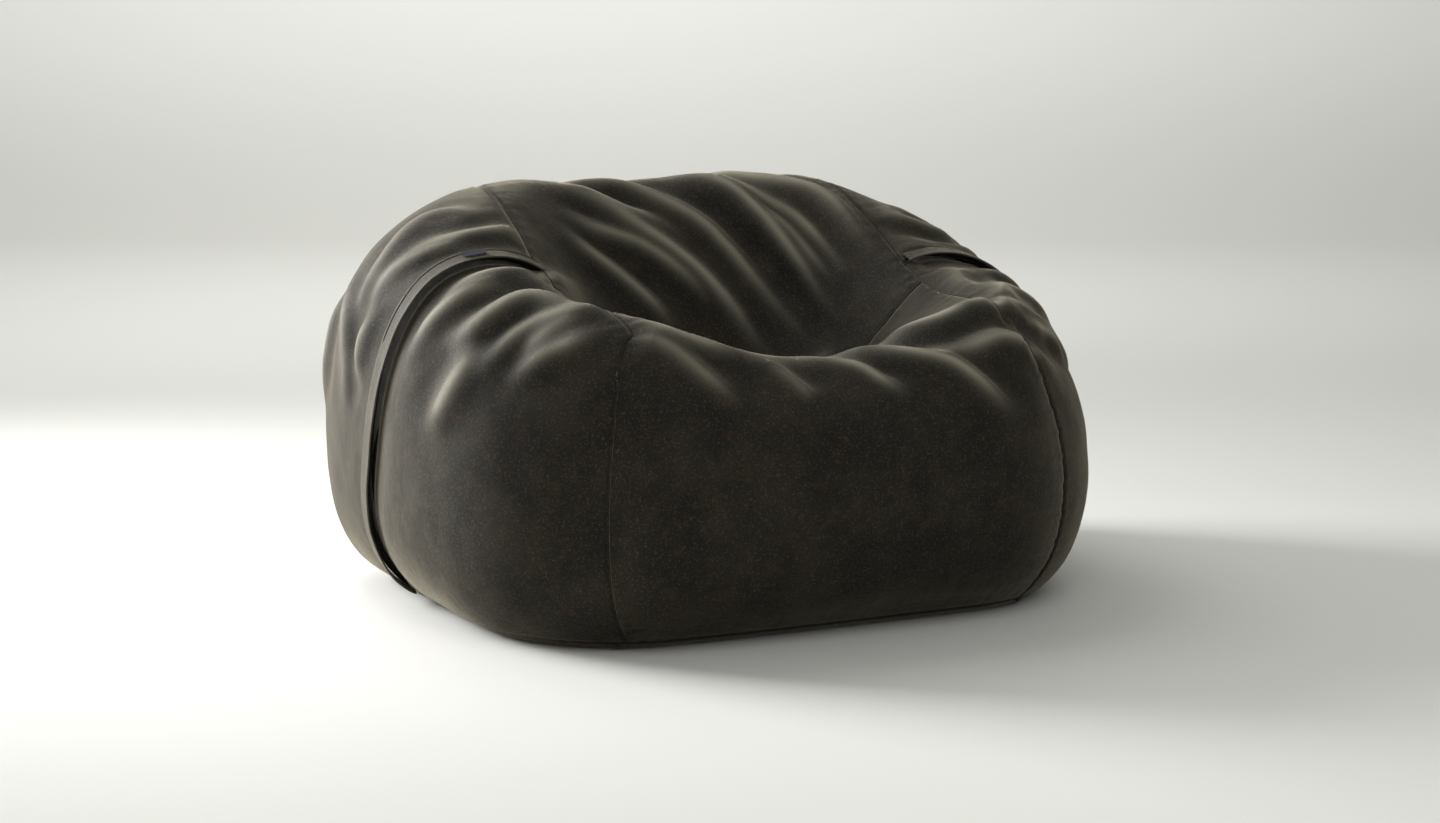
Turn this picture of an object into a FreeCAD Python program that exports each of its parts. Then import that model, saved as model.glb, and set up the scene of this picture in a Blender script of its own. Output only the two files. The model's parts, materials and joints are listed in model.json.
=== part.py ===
import FreeCAD, Part
import math
import os

# Bean bag chair: a bead-filled liner inside a sewn velvet cover.
# Frame: +Z up, the front faces -Y, +X is on the right of a person who looks at the front.
# The origin is on the floor, under the middle of the bounding box. All sizes in millimetres.

# Outer shape. The heights are those of the shape's control points; the skin runs a little inside them.
WIDTH = 1226.0
DEPTH = 1110.0
RIDGE_HEIGHT = 688.0
RIM_HEIGHT = 434.0
ARM_HEIGHT = 528.0
HOLLOW_HEIGHT = 232.0
BELLY_HEIGHT = 255.0
UNDER = -29.0
ARM_SETTLE = {"left": 0.0, "right": 58.0}

# Cover, made of a centre strip, two sides and a base.
STRIP_WIDTH = 662.0
CORNER_Y = -366.0
COVER_THICKNESS = 3.0
SEAM_WIDTH = 4.0
SEAM_RISE = 1.2
BASE_EDGE = 12.0
HOLLOW_SEAM_Y = -95.0
RIDGE_SEAM_Y = 368.0

# Plackets: a zip in a turned-in slot on each side, under a flap.
PLACKET_Y = 99.0
PLACKET_LEAN = 0.25
SLOT_HALF = 15.0
HEM_THICKNESS = 2.0
FLAP_GAP = 0.3
FLAP_THICKNESS = 2.6
FLAP_FREE_SIDE = 11.0
FLAP_SEWN_SIDE = 24.0

# Zips. Radii are counted from the tape's outer face, which lies on a circular arc.
ZIP_DEPTH = 12.0
TAPE_THICKNESS = 0.8
COIL_WIDTH = 2.4
COIL_HEIGHT = 1.8
COIL_GAP = 1.4
ZIP_LOW_END = 34.0
ZIP_TOP_END = 16.0
STOP_LENGTH = 4.0
SLIDER_LENGTH = 15.0
SLIDER_WALL = 1.2
SLIDER_CLEARANCE = 0.35
CROWN_HEIGHT = 2.0
CROWN_WIDTH = 4.0

# Woven label, sewn into the left flap's seam by one long edge.
LABEL_LENGTH = 38.0
LABEL_WIDTH = 21.0
LABEL_THICKNESS = 0.8
LABEL_ROLL_RADIUS = 0.9
LABEL_CLEARANCE = 0.9
LABEL_ANGLE = 62.0

# Inside.
LINER_GAP = 1.0
LINER_THICKNESS = 1.0
FILL_GAP = 0.6

V = FreeCAD.Vector
FAR = 3000.0
SIDES = {"left": -1.0, "right": 1.0}


def middle_outline():
    """Closed outline (y, z) over the middle: base, belly, front rim, hollow, ridge, back."""
    return [
        (0.04 * DEPTH, UNDER), (-0.15 * DEPTH, UNDER), (-0.335 * DEPTH, UNDER),
        (-0.445 * DEPTH, 0.34 * BELLY_HEIGHT), (-0.47 * DEPTH, BELLY_HEIGHT),
        (-0.43 * DEPTH, 0.86 * RIM_HEIGHT), (-0.322 * DEPTH, RIM_HEIGHT),
        (-0.20 * DEPTH, 0.80 * RIM_HEIGHT), (-0.088 * DEPTH, HOLLOW_HEIGHT),
        (0.042 * DEPTH, 1.25 * HOLLOW_HEIGHT), (0.11 * DEPTH, 0.70 * RIDGE_HEIGHT),
        (0.19 * DEPTH, 0.96 * RIDGE_HEIGHT), (0.31 * DEPTH, RIDGE_HEIGHT),
        (0.432 * DEPTH, 0.77 * RIDGE_HEIGHT), (0.475 * DEPTH, BELLY_HEIGHT),
        (0.405 * DEPTH, UNDER), (0.223 * DEPTH, UNDER),
    ]


def seam_outline():
    """Closed outline (y, z) over the strip's seams, where the hollow is only a shallow dip."""
    return [
        (0.04 * DEPTH, UNDER), (-0.15 * DEPTH, UNDER), (-0.335 * DEPTH, UNDER),
        (-0.437 * DEPTH, 0.34 * BELLY_HEIGHT), (-0.45 * DEPTH, BELLY_HEIGHT),
        (-0.402 * DEPTH, 0.80 * ARM_HEIGHT), (-0.322 * DEPTH, ARM_HEIGHT),
        (-0.218 * DEPTH, 0.965 * ARM_HEIGHT), (-0.114 * DEPTH, 0.945 * ARM_HEIGHT),
        (-0.01 * DEPTH, 1.07 * ARM_HEIGHT), (0.085 * DEPTH, 0.92 * RIDGE_HEIGHT),
        (0.19 * DEPTH, RIDGE_HEIGHT), (0.302 * DEPTH, 0.99 * RIDGE_HEIGHT),
        (0.423 * DEPTH, 0.77 * RIDGE_HEIGHT), (0.466 * DEPTH, BELLY_HEIGHT),
        (0.397 * DEPTH, UNDER), (0.223 * DEPTH, UNDER),
    ]


def side_outline(settle):
    """Closed outline (y, z) of a side, its top lowered by as much as that arm has settled."""
    top = RIDGE_HEIGHT - settle
    return [
        (0.04 * DEPTH, UNDER), (-0.13 * DEPTH, UNDER), (-0.29 * DEPTH, UNDER),
        (-0.385 * DEPTH, 0.34 * BELLY_HEIGHT), (-0.385 * DEPTH, BELLY_HEIGHT),
        (-0.333 * DEPTH, 0.585 * top), (-0.255 * DEPTH, 0.71 * top),
        (-0.166 * DEPTH, 0.81 * top), (-0.08 * DEPTH, 0.89 * top),
        (0.016 * DEPTH, 0.935 * top), (0.11 * DEPTH, 0.965 * top),
        (0.206 * DEPTH, 0.95 * top), (0.302 * DEPTH, 0.88 * top),
        (0.405 * DEPTH, 0.66 * top), (0.44 * DEPTH, 0.90 * BELLY_HEIGHT),
        (0.37 * DEPTH, UNDER), (0.206 * DEPTH, UNDER),
    ]


def blended(first, second, share):
    """Outline between two outlines: all first at share 0, all second at share 1."""
    return [
        (a[0] + (b[0] - a[0]) * share, a[1] + (b[1] - a[1]) * share)
        for a, b in zip(first, second)
    ]


def shrunk(outline, share_y, share_z):
    """Outline drawn in towards the pole of a side."""
    pole_y, pole_z = 0.14 * DEPTH, 1.05 * BELLY_HEIGHT
    return [(pole_y + (y - pole_y) * share_y, pole_z + (z - pole_z) * share_z) for y, z in outline]


def control_net():
    """Rows of control points from the left pole, over the middle, to the right pole."""
    middle, seam = middle_outline(), seam_outline()
    half = WIDTH / 2
    rows = []
    for name in ("left", "right"):
        side = side_outline(ARM_SETTLE[name])
        flank = [
            (half, shrunk(side, 0.0, 0.0)),
            (half, shrunk(side, 0.25, 0.26)),
            (0.978 * half, shrunk(side, 0.56, 0.56)),
            (0.865 * half, shrunk(side, 0.85, 0.86)),
            (0.67 * half, shrunk(blended(seam, side, 0.6), 0.98, 0.99)),
            (STRIP_WIDTH / 2 - 14, seam),
            (0.31 * half, blended(seam, middle, 0.6)),
        ]
        net = [[V(SIDES[name] * x, y, z) for y, z in outline] for x, outline in flank]
        rows.append(net if name == "left" else net[::-1])
    return rows[0] + [[V(0, y, z) for y, z in middle]] + rows[1]


def moved_net(net, outward):
    """The control net moved along its own normals, outwards by the given distance."""
    last, around = len(net) - 1, len(net[0])
    moved = []
    for i, row in enumerate(net):
        below, above = net[max(i - 1, 0)], net[min(i + 1, last)]
        line = []
        for j, point in enumerate(row):
            if i in (0, last):
                normal = V(1 if i else -1, 0, 0)
            else:
                along = row[(j + 1) % around] - row[j - 1]
                normal = (above[j] - below[j]).cross(along)
                normal.normalize()
            line.append(point + normal * outward)
        moved.append(line)
    return moved


def skin_solid(outward, floor):
    """Solid inside the skin moved outwards, cut flat at the given floor height."""
    net = moved_net(control_net(), outward)
    spans = len(net) - 3
    ends = [4] + [1] * (spans - 1) + [4]
    around = len(net[0])
    surface = Part.BSplineSurface()
    surface.buildFromPolesMultsKnots(
        net, ends, [1] * (around + 1), list(range(spans + 1)), list(range(around + 1)), False, True, 3, 3
    )
    solid = Part.Solid(Part.Shell([surface.toShape()]))
    if solid.Volume < 0:
        solid.reverse()
    above = Part.makeBox(FAR, FAR, FAR, V(-FAR / 2, -FAR / 2, floor))
    return solid.common(above)


def strip_prism(grow):
    """Upright prism over the centre strip, its seams moved sideways by grow."""
    x, reach = STRIP_WIDTH / 2 + grow, FAR / 3
    corners = [
        V(-x, reach, -1), V(-x, CORNER_Y, -1), V(-x - reach, CORNER_Y - reach, -1),
        V(x + reach, CORNER_Y - reach, -1), V(x, CORNER_Y, -1), V(x, reach, -1),
    ]
    face = Part.Face(Part.makePolygon(corners + corners[:1]))
    return face.extrude(V(0, 0, FAR))


def box(x0, x1, y0, y1, z0, z1):
    return Part.makeBox(x1 - x0, y1 - y0, z1 - z0, V(x0, y0, z0))


class Placket:
    """One side's zip line: the circle in a leaning plane that the zip follows, and its two ends."""

    def __init__(self, name, skin):
        self.sign = SIDES[name]
        self.out = V(self.sign, 0, 0)
        self.back = V(0, 1, PLACKET_LEAN).normalize()
        self.up = V(0, -PLACKET_LEAN, 1).normalize()
        self.axis = self.out.cross(self.up)
        self.origin = V(0, PLACKET_Y, 0)
        points = self.skin_points(skin)
        low = points[0]
        top = points[-1]
        wide = max(points, key=lambda p: p.dot(self.out))
        circle = Part.Circle(low, wide, top)
        self.centre = circle.Center
        self.radius = min((p - self.centre).Length for p in points) - ZIP_DEPTH
        self.low_angle = self.angle_of(low) + math.degrees(ZIP_LOW_END / self.radius) / 2
        self.top_angle = self.angle_of(top) - math.degrees(ZIP_TOP_END / self.radius) / 2

    def skin_points(self, skin):
        """Points along the skin in the zip's plane, from just over the base to the strip's seam."""
        reach = V(FAR / 2, 0, 0)
        corners = [self.origin - reach, self.origin + reach]
        corners += [p + self.up * FAR / 2 for p in corners[::-1]]
        plane = Part.Face(Part.makePolygon(corners + corners[:1]))
        points = []
        for edge in skin.section(plane).Edges:
            points += edge.discretize(Distance=8.0)
        inner = STRIP_WIDTH / 2 + ZIP_TOP_END
        kept = [p for p in points if p.dot(self.out) > inner and p.z > ZIP_LOW_END]
        middle = V(self.sign * inner, PLACKET_Y - PLACKET_LEAN * BELLY_HEIGHT, BELLY_HEIGHT)
        return sorted(kept, key=lambda p: math.atan2((p - middle).dot(self.up), (p - middle).dot(self.out)))

    def angle_of(self, point):
        arm = point - self.centre
        return math.degrees(math.atan2(arm.dot(self.up), arm.dot(self.out)))

    def at(self, angle, radius, back):
        turn = math.radians(angle)
        return (
            self.centre + self.out * radius * math.cos(turn) + self.up * radius * math.sin(turn)
            + self.back * back
        )

    def arc_bar(self, start, end, inner, outer, front, rear):
        """Bar of rectangular section that follows the zip's arc, radii from the tape's outer face."""
        near, far = self.radius + inner, self.radius + outer
        corners = [self.at(start, near, front), self.at(start, far, front)]
        corners += [self.at(start, far, rear), self.at(start, near, rear)]
        section = Part.Face(Part.makePolygon(corners + corners[:1]))
        return section.revolve(self.centre, self.axis, end - start)

    def degrees(self, length):
        return math.degrees(length / self.radius)

    def slab(self, front, rear):
        """Space between two planes parallel to the zip's, on this side of the strip."""
        inner = STRIP_WIDTH / 2 - 1
        base = self.origin - self.up * FAR / 2 + self.back * front
        corners = [base, base + self.up * FAR]
        corners += [p + self.out * FAR / 2 for p in corners[::-1]]
        face = Part.Face(Part.makePolygon(corners + corners[:1]))
        slab = face.extrude(self.back * (rear - front))
        slab.translate(self.out * inner)
        return slab

    def outside_arc(self, front, rear, inner):
        """Part of a slab outside the zip's arc."""
        disc = Part.makeCylinder(self.radius + inner, rear - front, self.centre + self.back * front, self.back)
        return self.slab(front, rear).cut(disc)


def one_solid(shape):
    """The largest solid of a shape, without slivers that a cut leaves."""
    return max(shape.Solids, key=lambda solid: solid.Volume)


def strip_parts(cover, raised, above_base):
    """The centre strip's three panels and the seams, folded allowances that stand a little proud."""
    half_seam = SEAM_WIDTH / 2
    strip = cover.common(strip_prism(-half_seam)).common(above_base)
    cuts = [-FAR / 2, HOLLOW_SEAM_Y, RIDGE_SEAM_Y, FAR / 2]
    parts = {}
    for name, start, end in zip(("front_panel", "backrest_panel", "rear_panel"), cuts[:-1], cuts[1:]):
        span = box(-FAR / 3, FAR / 3, start + half_seam, end - half_seam, -1, FAR / 2)
        parts[name] = one_solid(strip.common(span))
    inside = strip_prism(-half_seam)
    for name, y in (("hollow_seam", HOLLOW_SEAM_Y), ("ridge_seam", RIDGE_SEAM_Y)):
        span = box(-FAR / 3, FAR / 3, y - half_seam, y + half_seam, -1, FAR / 2).common(inside)
        parts[name] = one_solid(raised.common(span).common(above_base))
    band = strip_prism(half_seam).cut(inside).common(above_base)
    ring = raised.common(band)
    for name, sign in SIDES.items():
        half = box(min(0, sign * FAR / 2), max(0, sign * FAR / 2), -FAR / 2, FAR / 2, -1, FAR / 2)
        parts[name + "_strip_seam"] = one_solid(ring.common(half))
    return parts


def base_parts(cover, raised):
    """The base panel and the seam round its edge."""
    half = FAR / 2
    panel = cover.common(box(-half, half, -half, half, -1, BASE_EDGE))
    band = box(-half, half, -half, half, BASE_EDGE, BASE_EDGE + SEAM_WIDTH)
    return {
        "base_panel": one_solid(panel),
        "base_seam": one_solid(raised.common(band)),
    }


def side_parts(name, placket, cover, outer_skin, above_base):
    """Front and rear side panels, each with a hem turned in along the zip."""
    sign = SIDES[name]
    half = FAR / 2
    outside = box(min(0, sign * half), max(0, sign * half), -half, half, -1, half)
    outside = outside.cut(strip_prism(SEAM_WIDTH / 2)).common(above_base)
    parts = {}
    for place, near, far in (("front", -FAR / 2, -SLOT_HALF), ("rear", SLOT_HALF, FAR / 2)):
        panel = cover.common(outside).common(placket.slab(near, far))
        edge = -SLOT_HALF if place == "front" else SLOT_HALF + HEM_THICKNESS
        wall = placket.outside_arc(edge - HEM_THICKNESS, edge, -TAPE_THICKNESS)
        hem = outer_skin.common(wall).common(outside)
        parts[f"{name}_{place}_side_panel"] = one_solid(panel.fuse(hem))
    return parts


def zip_parts(name, placket):
    """Both tapes with their coils, the end stops and the slider with its crown."""
    low, top = placket.low_angle, placket.top_angle
    near = COIL_GAP / 2
    far = near + COIL_WIDTH
    parts = {}
    for place, sign in (("front", -1.0), ("rear", 1.0)):
        tape = sorted((sign * near, sign * SLOT_HALF))
        coil = sorted((sign * near, sign * far))
        parts[f"{name}_zip_{place}_tape"] = placket.arc_bar(low, top, -TAPE_THICKNESS, 0, *tape)
        parts[f"{name}_zip_{place}_coil"] = placket.arc_bar(low, top, 0, COIL_HEIGHT, *coil)
    stop = placket.degrees(STOP_LENGTH)
    stop_top = COIL_HEIGHT + SLIDER_WALL
    stops = [
        placket.arc_bar(start, start + stop, COIL_HEIGHT, stop_top, -far, far)
        for start in (low, top - stop)
    ]
    parts[f"{name}_zip_stops"] = Part.makeCompound(stops)

    start = low + stop + placket.degrees(SLIDER_CLEARANCE)
    end = start + placket.degrees(SLIDER_LENGTH)
    edge = far + SLIDER_CLEARANCE
    wide = edge + SLIDER_WALL
    roof = COIL_HEIGHT + SLIDER_CLEARANCE
    under = -TAPE_THICKNESS - SLIDER_CLEARANCE
    post = near - SLIDER_CLEARANCE
    slider = placket.arc_bar(start, end, roof, roof + SLIDER_WALL, -wide, wide)
    pieces = [
        placket.arc_bar(start, end, under - SLIDER_WALL, under, -wide, wide),
        placket.arc_bar(start, end, SLIDER_CLEARANCE, roof, -wide, -edge),
        placket.arc_bar(start, end, SLIDER_CLEARANCE, roof, edge, wide),
        placket.arc_bar(start, end, under, roof, -post, post),
    ]
    parts[f"{name}_zip_slider"] = slider.multiFuse(pieces).removeSplitter()
    third = (end - start) / 3
    crown = placket.arc_bar(
        start + third / 2, end - third / 2, roof + SLIDER_WALL, roof + SLIDER_WALL + CROWN_HEIGHT,
        -CROWN_WIDTH / 2, CROWN_WIDTH / 2,
    )
    tunnel = placket.arc_bar(
        start + third, end - third, roof + SLIDER_WALL, roof + CROWN_HEIGHT,
        -CROWN_WIDTH, CROWN_WIDTH,
    )
    parts[f"{name}_slider_crown"] = crown.cut(tunnel)
    travel = top - low - 2 * stop - 2 * placket.degrees(SLIDER_CLEARANCE) - (end - start)
    print(f"{name} zip centre {placket.centre} axis {placket.axis} travel {travel:.2f} R {placket.radius:.1f}")
    return parts


def flap_part(placket, flap_inner, flap_outer, above_base):
    """Flap over the slot: sewn down behind the zip, free in front of it."""
    band = placket.slab(-FLAP_FREE_SIDE, FLAP_SEWN_SIDE).common(above_base)
    band = band.cut(strip_prism(SEAM_WIDTH))
    return one_solid(flap_outer.common(band).cut(flap_inner))


def label_part(placket, flap_outer):
    """Woven label on the left flap: a plate whose long rear edge is a sewn roll, its hinge."""
    middle = (FLAP_SEWN_SIDE - FLAP_FREE_SIDE) / 2
    ray = Part.makeLine(placket.at(LABEL_ANGLE, 0, middle), placket.at(LABEL_ANGLE, FAR / 4, middle))
    crossing = ray.common(flap_outer).Vertexes[-1].Point
    skin = flap_outer.Faces[0].Surface
    normal = skin.normal(*skin.parameter(crossing))
    if normal.dot(crossing - placket.centre) < 0:
        normal = -normal
    along = placket.axis.cross(normal).normalize()
    forward = along.cross(normal)
    if forward.dot(placket.back) > 0:
        forward = -forward
    seat = crossing + normal * LABEL_CLEARANCE
    corner = seat - along * LABEL_LENGTH / 2 - forward * LABEL_WIDTH / 2
    edge = [corner, corner + along * LABEL_LENGTH]
    edge += [p + forward * LABEL_WIDTH for p in edge[::-1]]
    plate = Part.Face(Part.makePolygon(edge + edge[:1])).extrude(normal * LABEL_THICKNESS)
    hinge = corner + normal * LABEL_ROLL_RADIUS
    roll = Part.makeCylinder(LABEL_ROLL_RADIUS, LABEL_LENGTH, hinge, along)
    print(f"label hinge {hinge + along * LABEL_LENGTH / 2} axis {forward.cross(normal)}")
    return plate.fuse(roll).removeSplitter()


def inner_parts(plackets):
    """The liner, one closed bag that dips under each zip, and the beads that fill it."""
    floor = COVER_THICKNESS + LINER_GAP
    depth = COVER_THICKNESS + LINER_GAP
    liner = slotted(skin_solid(-depth, floor), plackets, 0)
    hollow = slotted(skin_solid(-depth - LINER_THICKNESS, floor + LINER_THICKNESS), plackets, LINER_THICKNESS)
    gap = LINER_THICKNESS + FILL_GAP
    filling = slotted(skin_solid(-depth - gap, floor + gap), plackets, gap)
    return {"inner_liner": one_solid(liner.cut(hollow)), "bead_filling": one_solid(filling)}


def slotted(solid, plackets, grow):
    """Solid with room for each zip's slot, its hems and the slider's underside."""
    side = SLOT_HALF + HEM_THICKNESS + LINER_GAP + grow
    under = TAPE_THICKNESS + SLIDER_CLEARANCE + SLIDER_WALL + LINER_GAP + grow
    for placket in plackets:
        solid = solid.cut(placket.outside_arc(-side, side, -under))
    return solid


def build():
    cover_skin = skin_solid(0, 0)
    inner_skin = skin_solid(-COVER_THICKNESS, COVER_THICKNESS)
    raised = skin_solid(SEAM_RISE, 0).cut(inner_skin)
    cover = cover_skin.cut(inner_skin)
    half = FAR / 2
    above_base = box(-half, half, -half, half, BASE_EDGE + SEAM_WIDTH, half)
    parts = strip_parts(cover, raised, above_base)
    parts.update(base_parts(cover, raised))
    flap_inner = skin_solid(FLAP_GAP, 0)
    flap_outer = skin_solid(FLAP_GAP + FLAP_THICKNESS, 0)
    plackets = []
    for name in SIDES:
        placket = Placket(name, cover_skin)
        plackets.append(placket)
        parts.update(side_parts(name, placket, cover, cover_skin, above_base))
        parts.update(zip_parts(name, placket))
        parts[f"{name}_zip_flap"] = flap_part(placket, flap_inner, flap_outer, above_base)
    parts["label"] = label_part(plackets[0], flap_outer)
    parts.update(inner_parts(plackets))
    return parts


os.makedirs("parts", exist_ok=True)
for part_name, part_shape in build().items():
    print(part_name, part_shape.isValid(), len(part_shape.Solids), round(part_shape.Volume))
    part_shape.exportStep(f"parts/{part_name}.step")
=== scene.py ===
import json
import math
import random

import bmesh
import bpy
import numpy as np
from mathutils import Matrix, Vector, noise
from mathutils.bvhtree import BVHTree
from mathutils.kdtree import KDTree


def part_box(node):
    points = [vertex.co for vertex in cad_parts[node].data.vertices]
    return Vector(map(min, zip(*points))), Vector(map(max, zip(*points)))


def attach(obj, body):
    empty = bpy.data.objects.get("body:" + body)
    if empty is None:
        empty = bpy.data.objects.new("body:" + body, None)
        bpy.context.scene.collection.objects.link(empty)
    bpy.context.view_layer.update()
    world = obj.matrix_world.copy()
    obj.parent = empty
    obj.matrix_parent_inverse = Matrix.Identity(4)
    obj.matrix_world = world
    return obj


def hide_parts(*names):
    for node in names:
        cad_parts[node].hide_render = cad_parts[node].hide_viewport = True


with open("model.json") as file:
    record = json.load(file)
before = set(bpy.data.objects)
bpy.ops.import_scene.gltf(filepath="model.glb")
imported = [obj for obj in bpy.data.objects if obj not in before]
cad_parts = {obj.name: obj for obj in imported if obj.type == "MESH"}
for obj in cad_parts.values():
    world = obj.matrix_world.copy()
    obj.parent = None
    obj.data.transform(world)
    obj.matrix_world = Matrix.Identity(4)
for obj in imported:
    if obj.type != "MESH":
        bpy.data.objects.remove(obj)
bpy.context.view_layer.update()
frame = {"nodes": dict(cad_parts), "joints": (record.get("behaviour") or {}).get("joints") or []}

# ---------------------------------------------------------------------------------------------
# Cover skin. The cover is sewn from flat panels and filled until it is tight, so all its panels
# share one smooth skin. It starts as a cube whose edges and rows of squares become the seams, and
# is drawn onto the outer faces of the CAD panels.
PANELS = [
    "front_panel", "backrest_panel", "rear_panel", "base_panel",
    "left_front_side_panel", "left_rear_side_panel",
    "right_front_side_panel", "right_rear_side_panel",
]
FLAPS = ["left_zip_flap", "right_zip_flap"]
SEAM_X = -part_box("left_strip_seam")[1].x + 0.002
CORNER_Y = -0.366
BASE_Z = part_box("base_seam")[1].z
HOLLOW_Y = (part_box("hollow_seam")[0].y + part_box("hollow_seam")[1].y) / 2
RIDGE_Y = (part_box("ridge_seam")[0].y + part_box("ridge_seam")[1].y) / 2
PLACKET_Y = 0.099
PLACKET_LEAN = 0.25
PLACKET_NORMAL = Vector((0, 1, PLACKET_LEAN)).normalized()
FLAP_LIFT = 0.0029
PLATE = np.array([0.33, 0.25, 0.0])
PLATE_HEIGHT = np.array([0, 0, 0.17])
REACH = np.array([0.28, 0.25, 0.30])
COARSE = 20
PLACKET_COLUMN = 0.0
BASE_ROW = -0.9
HOLLOW_COLUMN = -0.2
COVER_THICKNESS = 0.003
SETTLE_PASSES = 14


def near(values, value):
    return np.abs(values - value) < 1e-4


def smooth(share):
    """Eases from 0 to 1 as share goes from 0 to 1."""
    share = np.clip(share, 0, 1)
    return share * share * (3 - 2 * share)


def seam_x(y):
    """Distance of the strip's seams from the middle: straight, then splayed at the front corners."""
    return SEAM_X + np.maximum(0, CORNER_Y - y)


def placket_side(co):
    """Signed distance from the plane in which both zips lie, positive behind it."""
    return (co - np.array([0, PLACKET_Y, 0])) @ np.array(PLACKET_NORMAL)


def outward(point):
    """Direction away from a flat plate inside the chair: every part of the skin faces that way."""
    arm = point - PLATE_HEIGHT
    return Vector(arm - np.clip(arm, -PLATE, PLATE)).normalized()


def outer_faces(nodes, lift=0.0):
    """Vertices and triangles of the CAD nodes' outer faces, moved in along their normals by lift."""
    verts, faces = [], []
    for node in nodes:
        mesh = frame["nodes"][node].data
        mesh.calc_loop_triangles()
        for tri in mesh.loop_triangles:
            points = [mesh.vertices[i].co for i in tri.vertices]
            centre = sum(points, Vector()) / 3
            if tri.normal.dot(outward(np.array(centre))) < 0.02:
                continue
            if node not in FLAPS and abs(placket_side(np.array(centre))) < 0.0155 and abs(centre.x) > SEAM_X:
                continue
            faces.append(tuple(range(len(verts), len(verts) + 3)))
            verts += [p - tri.normal * lift for p in points]
    return verts, faces


def skin_tree():
    verts, faces = outer_faces(PANELS)
    more, more_faces = outer_faces(FLAPS, FLAP_LIFT)
    faces += [tuple(i + len(verts) for i in f) for f in more_faces]
    return BVHTree.FromPolygons(verts + more, faces)


def on_skin(tree, co):
    return np.array([tree.find_nearest(Vector(p))[0] for p in co])


def neighbour_mean(co, edges, count):
    total = np.zeros_like(co)
    np.add.at(total, edges[:, 0], co[edges[:, 1]])
    np.add.at(total, edges[:, 1], co[edges[:, 0]])
    return total / count[:, None]


def hold_seams(co, cube):
    """Puts the rows of vertices that become seams back on the planes of their seams."""
    top, bottom, front, back = (near(cube[:, k], v) for k, v in ((2, 1), (2, -1), (1, -1), (1, 1)))
    side = near(np.abs(cube[:, 0]), 1)
    strip = top | bottom | front | back
    half = seam_x(co[:, 1])
    co[strip, 0] = (cube[:, 0] * half)[strip]
    flank = side & ~strip
    co[flank, 0] = (np.sign(cube[:, 0]) * np.maximum(np.abs(co[:, 0]), half + 0.001))[flank]
    base = near(cube[:, 2], BASE_ROW)
    co[base, 2] = BASE_Z
    hollow = top & near(cube[:, 1], HOLLOW_COLUMN)
    co[hollow, 1] = HOLLOW_Y
    co[top & back, 1] = RIDGE_Y
    placket = side & near(cube[:, 1], PLACKET_COLUMN)
    co[placket] -= placket_side(co[placket])[:, None] * np.array(PLACKET_NORMAL)
    return co


def seam_rows(cube):
    """The vertices in which panels meet."""
    on_strip = near(np.abs(cube[:, 0]), 1) & (near(np.abs(cube[:, 1]), 1) | near(np.abs(cube[:, 2]), 1))
    across = near(cube[:, 2], 1) & (near(cube[:, 1], 1) | near(cube[:, 1], HOLLOW_COLUMN))
    placket = near(np.abs(cube[:, 0]), 1) & near(cube[:, 1], PLACKET_COLUMN)
    return on_strip | across | placket | near(cube[:, 2], BASE_ROW)


def cover_skin(tree, passes):
    """The whole cover as one closed mesh of squares, with each vertex's place on the cube."""
    bm = bmesh.new()
    bmesh.ops.create_cube(bm, size=2)
    bmesh.ops.subdivide_edges(bm, edges=bm.edges, cuts=COARSE - 1, use_grid_fill=True)
    place = bm.verts.layers.float_vector.new("cube")
    for v in bm.verts:
        v[place] = v.co
    for level, count_passes in enumerate(passes):
        if level:
            bmesh.ops.subdivide_edges(bm, edges=bm.edges, cuts=1, use_grid_fill=True)
        bm.verts.ensure_lookup_table()
        bm.verts.index_update()
        cube = np.array([v[place] for v in bm.verts])
        edges = np.array([[v.index for v in e.verts] for e in bm.edges])
        count = np.bincount(edges.ravel(), minlength=len(cube)).astype(float)
        if level:
            co = np.array([v.co for v in bm.verts])
        else:
            point = cube * (PLATE + REACH)
            core = np.clip(point, -PLATE, PLATE)
            aim = (point - core) / np.linalg.norm(point - core, axis=1)[:, None]
            core += PLATE_HEIGHT
            hits = [tree.ray_cast(Vector(c + 2 * a), Vector(-a))[0] for c, a in zip(core, aim)]
            co = np.array([h if h else c for h, c in zip(hits, core)])
        for _ in range(count_passes):
            co = co + 0.7 * (neighbour_mean(co, edges, count) - co)
            for _ in range(2):
                co = hold_seams(on_skin(tree, co), cube)
        held = np.flatnonzero(seam_rows(cube))
        for _ in range(SETTLE_PASSES):
            co[held] = hold_seams(on_skin(tree, co[held]), cube[held])
        for v, p in zip(bm.verts, co):
            v.co = p
    return bm, cube, co

tree = skin_tree()
bm, cube, co = cover_skin(tree, (60, 12, 4, 2))
bm.faces.ensure_lookup_table()
quads = np.array([[v.index for v in f.verts] for f in bm.faces])


NORMAL_PASSES = 5


def evened(values, quads, passes):
    """The values at the vertices, each pass taking the mean over the faces that meet there."""
    count = np.bincount(quads.ravel(), minlength=len(values)).astype(float)
    count = count.reshape((-1,) + (1,) * (values.ndim - 1))
    for _ in range(passes):
        face = values[quads].mean(axis=1)
        total = np.zeros_like(values)
        for corner in range(4):
            np.add.at(total, quads[:, corner], face)
        values = total / count
    return values


def normals_of(co, quads):
    """Outward normal at each vertex, evened out between neighbours."""
    normals = np.array([tree.find_nearest(Vector(p))[1] for p in co])
    normals = evened(normals, quads, NORMAL_PASSES)
    return normals / np.linalg.norm(normals, axis=1)[:, None]


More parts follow.
